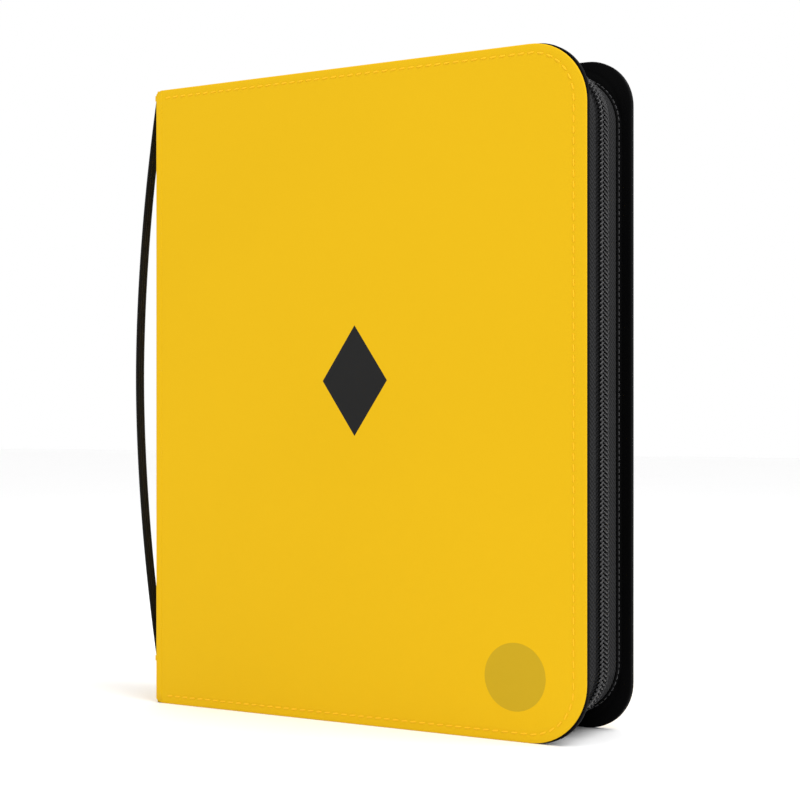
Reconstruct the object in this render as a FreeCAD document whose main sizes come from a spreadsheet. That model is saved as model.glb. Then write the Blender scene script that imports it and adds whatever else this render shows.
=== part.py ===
import FreeCAD, Part
import os
import Sketcher

PAGE_COUNT = 20
POCKET_COLUMNS = 3
POCKET_ROWS = 3

# Driving sizes in millimetres. Each can be set by itself.
SIZES = {
    "cover_width": 267.0,        # spine face to fore-edge
    "cover_height": 345.0,
    "total_thickness": 58.0,     # outside of one cover to outside of the other
    "fore_corner_radius": 31.0,
    "front_lining_radius": 28.0,  # each lining is fuller than its skin at the corners
    "rear_lining_radius": 25.0,
    "spine_corner_radius": 4.0,
    "skin_thickness": 0.9,
    "foam_thickness": 1.0,
    "board_thickness": 1.8,
    "lining_thickness": 0.7,
    "edge_wall": 1.3,            # turned edge round each board
    "hinge_gap": 1.2,            # from the spine face to where a cover starts
    "part_clearance": 0.3,       # between bodies that move past each other
    "emblem_width": 40.0,
    "emblem_height": 58.0,
    "emblem_rise": 7.5,          # middle of the cover to the emblem's middle
    "inlay_depth": 0.4,
    "badge_diameter": 34.0,
    "badge_from_fore_edge": 39.0,
    "badge_from_foot": 32.0,
    "gusset_inset": 4.1,         # fore-edge to the gusset's outer face
    "gusset_end_step": 4.3,      # how much further in it stands at the head and foot
    "gusset_thickness": 1.0,
    "gusset_depth": 6.5,
    "tape_thickness": 0.8,
    "seam_overlap": 2.0,         # tape sewn under the gusset
    "coil_thickness": 1.8,
    "coil_half_width": 4.7,
    "coil_gap": 0.15,            # from the middle plane to each half of the coil
    "front_zip_start": 36.0,     # spine face to the front half's end
    "rear_zip_start": 19.0,
    "tape_tail": 5.0,
    "stop_length": 2.0,
    "slider_length": 10.0,
    "slider_plate": 1.1,
    "slider_flange": 0.6,
    "post_length": 1.2,
    "post_thickness": 0.8,
    "pin_radius": 0.5,
    "pin_height": 1.7,           # slider plate to pin centre
    "eye_radius": 1.4,
    "eye_clearance": 0.3,
    "pull_length": 24.0,
    "pull_width": 5.0,
    "pull_thickness": 1.0,
    "pull_neck": 3.0,
    "binding_thickness": 1.6,
    "binding_margin": 3.0,
    "page_gap": 0.8,             # binding strip to a page's turning edge
    "page_fore_margin": 22.0,
    "page_end_margin": 24.0,
    "page_cover_gap": 5.2,       # lining to the middle of the nearest page
    "sheet_thickness": 0.5,
    "pocket_thickness": 0.9,
    "binding_edge": 12.0,        # plain strip along a page's turning edge
    "pocket_border": 3.0,
    "strap_width": 6.5,
    "strap_thickness": 2.0,
    "strap_bulge": 19.3,         # spine face to the strap's outermost face
    "strap_from_front": 8.25,
    "strap_axis_offset": 3.2,    # spine face to the anchor line
    "strap_low": 26.0,
    "strap_from_head": 5.0,      # cover's head to the strap's upper end
    "anchor_width": 9.0,
    "anchor_length": 16.0,
    "anchor_thickness": 0.6,
    "anchor_lip": 3.0,
}

doc = FreeCAD.newDocument("card_binder")
sheet = doc.addObject("Spreadsheet::Sheet", "Sizes")
for row, (alias, size) in enumerate(SIZES.items(), start=1):
    sheet.set(f"A{row}", alias)
    sheet.set(f"B{row}", str(size))
    sheet.setAlias(f"B{row}", alias)
doc.recompute()


def cell(text):
    """Write each size name in an expression as a cell of the sheet."""
    words = []
    for word in text.replace("(", " ( ").replace(")", " ) ").split():
        words.append(f"Sizes.{word}" if word in SIZES else word)
    return "(" + " ".join(words) + ")"


# Places worked out from the driving sizes.
COVER_CORE = "(foam_thickness + board_thickness)"
COVER_THICKNESS = f"(skin_thickness + {COVER_CORE} + lining_thickness)"
SPINE_FACE = "(( strap_bulge - cover_width ) / 2)"
COVER_LENGTH = "(cover_width - hinge_gap)"
TAPE_FACE = "(gusset_inset + gusset_thickness)"
COIL_FACE = f"({TAPE_FACE} - coil_thickness)"
COIL_END = f"({COIL_FACE} + gusset_end_step)"
HALF_DEPTH = "(total_thickness / 2)"
SPINE_EDGE = f"({COVER_THICKNESS} + part_clearance)"
SPINE_INSIDE = "(skin_thickness + board_thickness + lining_thickness)"
PAGE_EDGE = f"({SPINE_INSIDE} + binding_thickness + page_gap)"
PAGE_WIDTH = f"(cover_width - {PAGE_EDGE} - page_fore_margin)"
PAGE_HEIGHT = "(cover_height - 2 * page_end_margin)"
PAGE_FIRST = f"({COVER_THICKNESS} + page_cover_gap)"
PAGE_PITCH = f"((total_thickness - 2 * {PAGE_FIRST}) / {PAGE_COUNT - 1})"
POCKET_WIDTH = f"(({PAGE_WIDTH} - binding_edge) / {POCKET_COLUMNS})"
POCKET_HEIGHT = f"({PAGE_HEIGHT} / {POCKET_ROWS})"

node_objects = {}


def add_node(shape_object, label):
    shape_object.Label = label
    node_objects[label] = shape_object
    return shape_object


def move(shape_object, across, depth, height):
    """Put an object at a place measured from the spine face, front face and foot."""
    shape_object.setExpression("Placement.Base.x", cell(f"{SPINE_FACE} + {across}"))
    shape_object.setExpression("Placement.Base.y", cell(f"{depth} - {HALF_DEPTH}"))
    shape_object.setExpression("Placement.Base.z", cell(height))


def move_on_cover(shape_object, side, across, depth, height):
    """Put a cover piece in place; the rear one is the front one turned over about X."""
    if side == "front":
        move(shape_object, across, depth, height)
        return
    half_turn = FreeCAD.Rotation(FreeCAD.Vector(1, 0, 0), 180)
    shape_object.Placement = FreeCAD.Placement(FreeCAD.Vector(), half_turn)
    move(shape_object, across, f"(total_thickness - ({depth}))", f"(cover_height - ({height}))")


def new_body(label):
    body = doc.addObject("PartDesign::Body", label + "_body")
    return add_node(body, label)


def new_sketch(body, name, role="XZ_Plane"):
    sketch = body.newObject("Sketcher::SketchObject", name)
    plane = [item for item in body.Origin.OriginFeatures if item.Role == role][0]
    sketch.AttachmentSupport = (plane, [""])
    sketch.MapMode = "FlatFace"
    return sketch


def drive(sketch, name, rule, text):
    """Add a dimension to a sketch and bind it to an expression."""
    index = sketch.addConstraint(rule)
    sketch.renameConstraint(index, name)
    sketch.setExpression(f"Constraints.{name}", cell(text))


def outline(body, name, width, height, fore_radius, spine_radius=None, foot=None, left_in=None):
    """Draw an upright outline whose fore-edge corners are arcs.

    foot and left_in move its lower and left sides in from the body's own origin.
    """
    point = FreeCAD.Vector
    rule = Sketcher.Constraint
    sketch = new_sketch(body, name)
    wide, tall, big, small, low = 200.0, 300.0, 20.0, 3.0, 5.0
    low = 0.0 if foot is None else low
    small = 0.0 if spine_radius is None else small
    near = 0.0 if left_in is None else 2.0
    top = low + tall
    wide = near + wide

    def arc(x, z, radius, quarter):
        circle = Part.Circle(point(x, z, 0), point(0, 0, 1), radius)
        start = quarter * 1.5707963267948966
        return Part.ArcOfCircle(circle, start, start + 1.5707963267948966)

    sketch.addGeometry(Part.LineSegment(point(near + small, low), point(wide - big, low)))
    sketch.addGeometry(arc(wide - big, low + big, big, 3))
    sketch.addGeometry(Part.LineSegment(point(wide, low + big), point(wide, top - big)))
    sketch.addGeometry(arc(wide - big, top - big, big, 0))
    sketch.addGeometry(Part.LineSegment(point(wide - big, top), point(near + small, top)))
    joined = [(0, 1), (1, 2), (2, 3), (3, 4)]
    if spine_radius is None:
        sketch.addGeometry(Part.LineSegment(point(near, top), point(near, low)))
        left = 5
        sketch.addConstraint(rule("Coincident", 4, 2, 5, 1))
        sketch.addConstraint(rule("Coincident", 5, 2, 0, 1))
    else:
        sketch.addGeometry(arc(near + small, top - small, small, 1))
        sketch.addGeometry(Part.LineSegment(point(near, top - small), point(near, low + small)))
        sketch.addGeometry(arc(near + small, low + small, small, 2))
        left = 6
        joined += [(4, 5), (5, 6), (6, 7), (7, 0)]
        sketch.addConstraint(rule("Equal", 5, 7))
        drive(sketch, "spine_radius", rule("Radius", 5, small), spine_radius)
    for first, second in joined:
        sketch.addConstraint(rule("Tangent", first, 2, second, 1))
    for edge in (0, 4):
        sketch.addConstraint(rule("Horizontal", edge))
    for edge in (2, left):
        sketch.addConstraint(rule("Vertical", edge))
    sketch.addConstraint(rule("Equal", 1, 3))
    if left_in is None:
        sketch.addConstraint(rule("PointOnObject", left, 2, -2))
    else:
        drive(sketch, "left_in", rule("DistanceX", -1, 1, left, 2, near), left_in)
    if foot is None:
        sketch.addConstraint(rule("PointOnObject", 0, 2, -1))
    else:
        drive(sketch, "foot", rule("DistanceY", -1, 1, 0, 2, low), foot)
    drive(sketch, "fore_radius", rule("Radius", 1, big), fore_radius)
    drive(sketch, "width", rule("DistanceX", left, 2, 2, 1, wide - near), width)
    drive(sketch, "height", rule("DistanceY", 0, 2, 4, 1, tall), height)
    return sketch


def pad(body, name, sketch, length, inward=True):
    feature = body.newObject("PartDesign::Pad", name)
    feature.Profile = sketch
    feature.setExpression("Length", cell(length))
    feature.Reversed = inward
    doc.recompute()
    return feature


def pocket(body, name, sketch, depth):
    """Cut inward from the sketch's plane and make sure that material went."""
    before = body.Shape.Volume
    feature = body.newObject("PartDesign::Pocket", name)
    feature.Profile = sketch
    feature.setExpression("Length", cell(depth))
    doc.recompute()
    if not body.Shape.Volume < before - 1e-3:
        raise ValueError(f"{body.Label}: {name} cut nothing")
    return feature


def plate(label, length, depth, height):
    """A plain box with its sizes bound to the sheet."""
    box = doc.addObject("Part::Box", label)
    box.setExpression("Length", cell(length))
    box.setExpression("Width", cell(depth))
    box.setExpression("Height", cell(height))
    return box


def fuse(label, pieces):
    whole = doc.addObject("Part::MultiFuse", label)
    whole.Shapes = pieces
    whole.Refine = True
    return whole


# Covers ---------------------------------------------------------------------

def diamond(body, name):
    """The emblem's outline: a rhombus in the middle of the cover."""
    point = FreeCAD.Vector
    rule = Sketcher.Constraint
    sketch = new_sketch(body, name)
    middle_x, middle_z, half_width, half_height = 120.0, 150.0, 20.0, 30.0
    corners = [
        point(middle_x - half_width, middle_z),
        point(middle_x, middle_z - half_height),
        point(middle_x + half_width, middle_z),
        point(middle_x, middle_z + half_height),
    ]
    for index, corner in enumerate(corners):
        sketch.addGeometry(Part.LineSegment(corner, corners[(index + 1) % 4]))
    for index in range(4):
        sketch.addConstraint(rule("Coincident", index, 2, (index + 1) % 4, 1))
    across = "(cover_width / 2 - hinge_gap)"
    upright = "(cover_height / 2 + emblem_rise)"
    low_z = middle_z - half_height
    left_x = middle_x - half_width
    drive(sketch, "left_across", rule("DistanceX", -1, 1, 0, 1, left_x),
          f"{across} - emblem_width / 2")
    drive(sketch, "left_height", rule("DistanceY", -1, 1, 0, 1, middle_z), upright)
    drive(sketch, "low_across", rule("DistanceX", -1, 1, 1, 1, middle_x), across)
    drive(sketch, "low_height", rule("DistanceY", -1, 1, 1, 1, low_z),
          f"{upright} - emblem_height / 2")
    drive(sketch, "full_width", rule("DistanceX", 0, 1, 2, 1, 2 * half_width), "emblem_width")
    drive(sketch, "right_height", rule("DistanceY", -1, 1, 2, 1, middle_z), upright)
    drive(sketch, "top_across", rule("DistanceX", -1, 1, 3, 1, middle_x), across)
    drive(sketch, "full_height", rule("DistanceY", 1, 1, 3, 1, 2 * half_height), "emblem_height")
    return sketch


def badge_circle(body, name):
    rule = Sketcher.Constraint
    sketch = new_sketch(body, name)
    centre = FreeCAD.Vector(220, 30, 0)
    sketch.addGeometry(Part.Circle(centre, FreeCAD.Vector(0, 0, 1), 15))
    drive(sketch, "radius", rule("Radius", 0, 15), "badge_diameter / 2")
    drive(sketch, "across", rule("DistanceX", -1, 1, 0, 3, centre.x),
          f"{COVER_LENGTH} - badge_from_fore_edge")
    drive(sketch, "height", rule("DistanceY", -1, 1, 0, 3, centre.y), "badge_from_foot")
    return sketch


def cover_sheet(label, side, depth, thickness, inset):
    """A flat sheet of a cover, inset all round from the cover's edge."""
    body = new_body(label)
    profile = outline(
        body, label + "_outline",
        f"{COVER_LENGTH} - 2 * {inset}", f"cover_height - 2 * {inset}",
        f"fore_corner_radius - {inset}", f"spine_corner_radius - {inset}",
    )
    pad(body, label + "_pad", profile, thickness)
    move_on_cover(body, side, f"hinge_gap + {inset}", depth, inset)
    return body


def cover_lining(label, side):
    """A tray: the inner face with the edge that is turned up round the board."""
    body = new_body(label)
    profile = outline(body, label + "_outline", COVER_LENGTH, "cover_height",
                      f"{side}_lining_radius", "spine_corner_radius")
    pad(body, label + "_pad", profile, f"{COVER_CORE} + lining_thickness")
    well = outline(
        body, label + "_well_outline",
        f"{COVER_LENGTH} - 2 * edge_wall", "cover_height - 2 * edge_wall",
        "fore_corner_radius - edge_wall", "spine_corner_radius - edge_wall",
        foot="edge_wall", left_in="edge_wall",
    )
    pocket(body, label + "_well", well, COVER_CORE)
    move_on_cover(body, side, "hinge_gap", "skin_thickness", "0")
    return body


def gusset_wall(label, side, start, face, thickness, first_depth, depth_run):
    """A wall that follows the cover's edge round three sides, open at the spine."""
    body = new_body(label)
    end_face = f"({face} + gusset_end_step)"
    outer = outline(
        body, label + "_outer",
        f"cover_width - {face} - {start}", f"cover_height - 2 * {end_face}",
        f"fore_corner_radius - {face}",
    )
    pad(body, label + "_pad", outer, depth_run)
    inner = outline(
        body, label + "_inner",
        f"cover_width - {face} - {start} - {thickness}",
        f"cover_height - 2 * {end_face} - 2 * {thickness}",
        f"fore_corner_radius - {face} - {thickness}", foot=thickness,
    )
    pocket(body, label + "_hollow", inner, depth_run)
    move_on_cover(body, side, start, first_depth, end_face)
    return body


for side in ("front", "rear"):
    skin = cover_sheet(f"{side}_cover_skin", side, "0", "skin_thickness", "0")
    if side == "front":
        pocket(skin, "emblem_seat", diamond(skin, "emblem_seat_outline"), "inlay_depth")
        pocket(skin, "badge_seat", badge_circle(skin, "badge_seat_outline"), "inlay_depth")
    cover_sheet(f"{side}_cover_foam", side, "skin_thickness", "foam_thickness", "edge_wall")
    cover_sheet(f"{side}_cover_board", side, "skin_thickness + foam_thickness",
                "board_thickness", "edge_wall")
    cover_lining(f"{side}_cover_lining", side)
    gusset_wall(f"{side}_gusset", side, f"({side}_zip_start - tape_tail)", "gusset_inset",
                "gusset_thickness", COVER_THICKNESS, "gusset_depth")
    tape_start = f"({COVER_THICKNESS} + gusset_depth - seam_overlap)"
    tape_run = f"({HALF_DEPTH} - coil_gap - {tape_start})"
    gusset_wall(f"{side}_zip_tape", side, f"({side}_zip_start - tape_tail)", TAPE_FACE,
                "tape_thickness", tape_start, tape_run)
    coil_start = f"({HALF_DEPTH} - coil_half_width)"
    gusset_wall(f"{side}_zip_coil", side, f"{side}_zip_start", COIL_FACE,
                "coil_thickness", coil_start, "coil_half_width - coil_gap")

emblem = new_body("front_emblem")
pad(emblem, "emblem_pad", diamond(emblem, "emblem_outline"), "inlay_depth")
move_on_cover(emblem, "front", "hinge_gap", "0", "0")
badge = new_body("corner_badge")
pad(badge, "badge_pad", badge_circle(badge, "badge_outline"), "inlay_depth")
move_on_cover(badge, "front", "hinge_gap", "0", "0")


# Zip stops, slider and pull -------------------------------------------------

STOP_ACROSS = "(rear_zip_start - stop_length)"
stops = []
for name, height in (("foot_stop", COIL_END),
                     ("head_stop", f"(cover_height - {COIL_END} - coil_thickness)")):
    stop = plate(name, "stop_length", "coil_half_width - coil_gap", "coil_thickness")
    move(stop, STOP_ACROSS, f"({HALF_DEPTH} + coil_gap)", height)
    stops.append(stop)
stop_pair = doc.addObject("Part::Compound", "stop_pair")
stop_pair.Links = stops
add_node(stop_pair, "zip_stops")

COIL_TOP = f"(cover_height - {COIL_END})"
PLATE_FOOT = f"({COIL_TOP} + part_clearance)"
PLATE_TOP = f"({PLATE_FOOT} + slider_plate)"
PIN_HEIGHT = f"({PLATE_TOP} + pin_height)"
SLIDER_START = "(rear_zip_start + part_clearance)"
SLIDER_HALF = "(coil_half_width + part_clearance + slider_flange)"
FLANGE_DROP = "(coil_thickness - part_clearance)"
PIN_ACROSS = f"({SLIDER_START} + slider_length / 2)"
POST_SPREAD = "(pull_neck / 2 + part_clearance)"

slider_pieces = []
cap = plate("slider_cap", "slider_length", f"2 * {SLIDER_HALF}", "slider_plate")
move(cap, SLIDER_START, f"({HALF_DEPTH} - {SLIDER_HALF})", PLATE_FOOT)
slider_pieces.append(cap)
for name, start in (("front_flange", f"({HALF_DEPTH} - {SLIDER_HALF})"),
                    ("rear_flange", f"({HALF_DEPTH} + {SLIDER_HALF} - slider_flange)")):
    flange = plate(name, "slider_length", "slider_flange", f"{FLANGE_DROP} + part_clearance")
    move(flange, SLIDER_START, start, f"({PLATE_FOOT} - {FLANGE_DROP})")
    slider_pieces.append(flange)
for name, start in (("front_post", f"({HALF_DEPTH} - {POST_SPREAD} - post_thickness)"),
                    ("rear_post", f"({HALF_DEPTH} + {POST_SPREAD})")):
    post = plate(name, "post_length", "post_thickness", "pin_height + pin_radius")
    move(post, f"({PIN_ACROSS} - post_length / 2)", start, PLATE_TOP)
    slider_pieces.append(post)


def cross_cylinder(label, radius, length, across, height):
    """A cylinder through the zip's middle plane, along the binder's thickness."""
    round_bar = doc.addObject("Part::Cylinder", label)
    quarter_turn = FreeCAD.Rotation(FreeCAD.Vector(1, 0, 0), -90)
    round_bar.Placement = FreeCAD.Placement(FreeCAD.Vector(), quarter_turn)
    round_bar.setExpression("Radius", cell(radius))
    round_bar.setExpression("Height", cell(length))
    move(round_bar, across, f"({HALF_DEPTH} - ({length}) / 2)", height)
    return round_bar


slider_pieces.append(cross_cylinder("slider_pin", "pin_radius", f"2 * {POST_SPREAD} + 2 * post_thickness",
                                    PIN_ACROSS, PIN_HEIGHT))
add_node(fuse("slider_whole", slider_pieces), "zip_slider")

eye = cross_cylinder("pull_eye", "eye_radius", "pull_neck", PIN_ACROSS, PIN_HEIGHT)
neck = plate("pull_neck_bar", "eye_radius + part_clearance * 2", "pull_neck", "pull_thickness")
move(neck, PIN_ACROSS, f"({HALF_DEPTH} - pull_neck / 2)", f"({PIN_HEIGHT} - pull_thickness / 2)")
tab_start = "(eye_radius + part_clearance)"
tab = plate("pull_tab", f"pull_length - {tab_start}", "pull_width", "pull_thickness")
move(tab, f"({PIN_ACROSS} + {tab_start})", f"({HALF_DEPTH} - pull_width / 2)",
     f"({PIN_HEIGHT} - pull_thickness / 2)")
pull_solid = fuse("pull_solid", [eye, neck, tab])
eye_hole = cross_cylinder("pull_eye_hole", "pin_radius + eye_clearance",
                          "pull_neck + 2", PIN_ACROSS, PIN_HEIGHT)
pull = doc.addObject("Part::Cut", "pull_cut")
pull.Base = pull_solid
pull.Tool = eye_hole
add_node(pull, "zip_pull")


# Spine ----------------------------------------------------------------------

spine_skin = plate("spine_skin_box", "skin_thickness", "total_thickness - 2 * part_clearance",
                   "cover_height")
move(spine_skin, "0", "part_clearance", "0")
add_node(spine_skin, "spine_skin")

# The board lies in a well of the lining, which is turned up round its four edges.
BOARD_EDGE = f"({SPINE_EDGE} + edge_wall)"
board_shapes = []
for name in ("spine_board_box", "spine_well_box"):
    shape = plate(name, "board_thickness", f"total_thickness - 2 * {BOARD_EDGE}",
                  "cover_height - 2 * edge_wall")
    move(shape, "skin_thickness", BOARD_EDGE, "edge_wall")
    board_shapes.append(shape)
add_node(board_shapes[0], "spine_board")
lining_block = plate("spine_lining_block", "board_thickness + lining_thickness",
                     f"total_thickness - 2 * {SPINE_EDGE}", "cover_height")
move(lining_block, "skin_thickness", SPINE_EDGE, "0")
spine_lining = doc.addObject("Part::Cut", "spine_lining_cut")
spine_lining.Base = lining_block
spine_lining.Tool = board_shapes[1]
add_node(spine_lining, "spine_lining")

binding_edge_depth = f"({SPINE_EDGE} + binding_margin)"
binding = plate("binding_box", "binding_thickness",
                f"total_thickness - 2 * {binding_edge_depth}", PAGE_HEIGHT)
move(binding, SPINE_INSIDE, binding_edge_depth, "page_end_margin")
add_node(binding, "page_binding")


# Pages ----------------------------------------------------------------------

for number in range(1, PAGE_COUNT + 1):
    label = f"page_{number:02d}"
    middle = f"({PAGE_FIRST} + {number - 1} * {PAGE_PITCH})"
    leaf = plate(label + "_sheet", PAGE_WIDTH, "sheet_thickness", PAGE_HEIGHT)
    move(leaf, PAGE_EDGE, f"({middle} - sheet_thickness / 2)", "page_end_margin")
    pieces = [leaf]
    for column in range(POCKET_COLUMNS):
        for row in range(POCKET_ROWS):
            sleeve = plate(f"{label}_pocket_{column}_{row}", f"{POCKET_WIDTH} - pocket_border",
                           "pocket_thickness", f"{POCKET_HEIGHT} - pocket_border")
            move(sleeve,
                 f"({PAGE_EDGE} + binding_edge + {column} * {POCKET_WIDTH} + pocket_border / 2)",
                 f"({middle} - pocket_thickness / 2)",
                 f"(page_end_margin + {row} * {POCKET_HEIGHT} + pocket_border / 2)")
            pieces.append(sleeve)
    add_node(fuse(label + "_whole", pieces), label)


# Carry strap ----------------------------------------------------------------

STRAP_HIGH = "(cover_height - strap_from_head)"
STRAP_REACH = f"({STRAP_HIGH} - strap_low)"
STRAP_SAG = "(strap_bulge - strap_axis_offset - strap_thickness / 2)"
STRAP_RADIUS = (
    f"(({STRAP_REACH} * {STRAP_REACH} / 4 + {STRAP_SAG} * {STRAP_SAG}) / (2 * {STRAP_SAG}))"
)


def strap_profile(body, name):
    """Two arcs about one centre, cut off level at the anchors."""
    rule = Sketcher.Constraint
    sketch = new_sketch(body, name)
    reach = SIZES["cover_height"] - SIZES["strap_from_head"] - SIZES["strap_low"]
    sag = SIZES["strap_bulge"] - SIZES["strap_axis_offset"] - SIZES["strap_thickness"] / 2
    radius = (reach * reach / 4 + sag * sag) / (2 * sag)
    half = SIZES["strap_thickness"] / 2
    centre = FreeCAD.Vector(radius - sag, 0, 0)
    ends = []
    for own_radius in (radius + half, radius - half):
        run = (own_radius ** 2 - (reach / 2) ** 2) ** 0.5
        ends.append(FreeCAD.Vector(centre.x - run, reach / 2, 0))
        rise = FreeCAD.Vector(centre.x - run, -reach / 2, 0)
        middle = FreeCAD.Vector(centre.x - own_radius, 0, 0)
        sketch.addGeometry(Part.Arc(ends[-1], middle, rise))
    for sign in (1, -1):
        sketch.addGeometry(Part.LineSegment(
            FreeCAD.Vector(ends[0].x, sign * reach / 2, 0),
            FreeCAD.Vector(ends[1].x, sign * reach / 2, 0),
        ))
    # An arc through three points starts at its first point, at the head.
    for arc_index, line_end in ((0, 1), (1, 2)):
        sketch.addConstraint(rule("Coincident", 2, line_end, arc_index, 1))
        sketch.addConstraint(rule("Coincident", 3, line_end, arc_index, 2))
    sketch.addConstraint(rule("Horizontal", 2))
    sketch.addConstraint(rule("Horizontal", 3))
    sketch.addConstraint(rule("Coincident", 0, 3, 1, 3))
    sketch.addConstraint(rule("PointOnObject", 0, 3, -1))
    drive(sketch, "centre", rule("DistanceX", -1, 1, 0, 3, centre.x),
          f"{STRAP_RADIUS} - {STRAP_SAG}")
    drive(sketch, "outer", rule("Radius", 0, radius + half),
          f"{STRAP_RADIUS} + strap_thickness / 2")
    drive(sketch, "inner", rule("Radius", 1, radius - half),
          f"{STRAP_RADIUS} - strap_thickness / 2")
    drive(sketch, "head", rule("DistanceY", -1, 1, 0, 1, reach / 2), f"{STRAP_REACH} / 2")
    drive(sketch, "tail", rule("DistanceY", 0, 2, -1, 1, reach / 2), f"{STRAP_REACH} / 2")
    return sketch


strap = new_body("handle_strap")
pad(strap, "strap_pad", strap_profile(strap, "strap_outline"), "strap_width")
move(strap, "(0 - strap_axis_offset)", "(strap_from_front - strap_width / 2)",
     f"(({STRAP_HIGH} + strap_low) / 2)")

LIP_OUT = "(strap_axis_offset + strap_thickness / 2)"
anchors = (
    ("handle_anchor_low", "(strap_low - part_clearance - anchor_lip)",
     "(strap_low - part_clearance - anchor_lip)"),
    ("handle_anchor_high", f"({STRAP_HIGH} + part_clearance + anchor_lip - anchor_length)",
     f"({STRAP_HIGH} + part_clearance)"),
)
for label, plate_foot, lip_foot in anchors:
    base = plate(label + "_base", "anchor_thickness", "anchor_width", "anchor_length")
    move(base, "(0 - anchor_thickness)", "(strap_from_front - anchor_width / 2)", plate_foot)
    lip = plate(label + "_lip", LIP_OUT, "strap_width", "anchor_lip")
    move(lip, f"(0 - {LIP_OUT})", "(strap_from_front - strap_width / 2)", lip_foot)
    add_node(fuse(label + "_whole", [base, lip]), label)


# Check and write ------------------------------------------------------------

doc.recompute()
for item in doc.Objects:
    if "Invalid" in item.State or "Error" in item.State:
        raise ValueError(f"{item.Label} did not recompute: {item.State}")
for label, item in node_objects.items():
    if item.Shape.isNull() or not item.Shape.isValid() or item.Shape.Volume <= 0:
        raise ValueError(f"{label} has no valid shape")
os.makedirs("parts", exist_ok=True)
for label, item in node_objects.items():
    item.Shape.exportStep(f"parts/{label}.step")
print(len(node_objects), "nodes written")
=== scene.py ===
"""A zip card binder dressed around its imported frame: coated covers, stitches, zip, strap, pages."""

import bpy
import numpy as np
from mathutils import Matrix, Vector


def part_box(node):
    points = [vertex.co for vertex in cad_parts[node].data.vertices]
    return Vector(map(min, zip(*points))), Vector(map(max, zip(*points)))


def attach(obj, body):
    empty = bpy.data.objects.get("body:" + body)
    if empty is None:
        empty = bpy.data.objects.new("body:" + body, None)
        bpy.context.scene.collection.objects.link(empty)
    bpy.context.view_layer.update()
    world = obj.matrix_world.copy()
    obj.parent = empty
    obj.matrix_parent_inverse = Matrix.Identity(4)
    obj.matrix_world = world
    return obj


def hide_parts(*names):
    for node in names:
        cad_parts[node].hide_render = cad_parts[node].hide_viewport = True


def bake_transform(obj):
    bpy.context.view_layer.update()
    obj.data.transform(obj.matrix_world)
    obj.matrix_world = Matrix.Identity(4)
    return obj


bl_info = {
    "name": "Zip card binder",
    "version": (1, 0, 0),
    "blender": (4, 5, 0),
    "location": "3D View > Sidebar > Card Binder",
    "description": "Builds the covers, zip, strap and pages of a zip card binder",
    "category": "Add Mesh",
}

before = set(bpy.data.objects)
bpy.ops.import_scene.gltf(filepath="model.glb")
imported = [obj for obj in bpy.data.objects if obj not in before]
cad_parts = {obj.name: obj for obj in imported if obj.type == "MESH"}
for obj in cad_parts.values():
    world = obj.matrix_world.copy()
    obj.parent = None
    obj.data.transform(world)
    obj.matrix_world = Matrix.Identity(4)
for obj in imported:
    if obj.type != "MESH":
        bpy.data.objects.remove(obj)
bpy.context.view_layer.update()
MM = 0.001

# Named places, read from the frame.
SKIN_LOW, SKIN_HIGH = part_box("front_cover_skin")
SPINE_LOW, SPINE_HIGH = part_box("spine_skin")
SPINE_X = SPINE_LOW[0]
FORE_X = SKIN_HIGH[0]
COVER_START = SKIN_LOW[0]
HEIGHT = SKIN_HIGH[2]
HALF_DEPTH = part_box("rear_cover_skin")[1][1]
TAPE_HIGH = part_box("front_zip_tape")[1]
TAPE_INSET = FORE_X - TAPE_HIGH[0]
END_STEP = HEIGHT - TAPE_HIGH[2] - TAPE_INSET
COIL_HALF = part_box("rear_zip_coil")[1][1]
STRIP_EDGE = -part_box("front_gusset")[1][1]
LINING_DEPTH = -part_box("front_cover_lining")[1][1]
SIDES = {"front": -1.0, "rear": 1.0}
PAGE_NODES = sorted(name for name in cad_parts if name.startswith("page_") and name[5:].isdigit())


# Small tools ----------------------------------------------------------------

def linear(hex_colour):
    """sRGB hex to linear RGBA."""
    parts = np.array([int(hex_colour[i:i + 2], 16) for i in (1, 3, 5)]) / 255.0
    lit = np.where(parts <= 0.04045, parts / 12.92, ((parts + 0.055) / 1.055) ** 2.4)
    return (*lit.tolist(), 1.0)


def add_node(tree, kind, inputs=None, **settings):
    """Add a node, set its properties, and give each input a value or a link."""
    node = tree.nodes.new(kind)
    for name, value in settings.items():
        setattr(node, name, value)
    for socket, value in (inputs or {}).items():
        if isinstance(value, bpy.types.NodeSocket):
            tree.links.new(value, node.inputs[socket])
        else:
            node.inputs[socket].default_value = value
    return node


def new_material(name):
    """A material with only its Principled shader and output."""
    material = bpy.data.materials.new(name)
    material.use_nodes = True
    tree = material.node_tree
    return material, tree, tree.nodes["Principled BSDF"]


def mix_colours(tree, factor, first, second):
    """A colour that runs from first to second with factor; both are sRGB hex or linear RGBA."""
    ramp = add_node(tree, "ShaderNodeMix", data_type="RGBA")
    tree.links.new(factor, ramp.inputs[0])
    for socket, colour in ((6, first), (7, second)):
        ramp.inputs[socket].default_value = linear(colour) if isinstance(colour, str) else colour
    return ramp.outputs[2]


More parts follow.
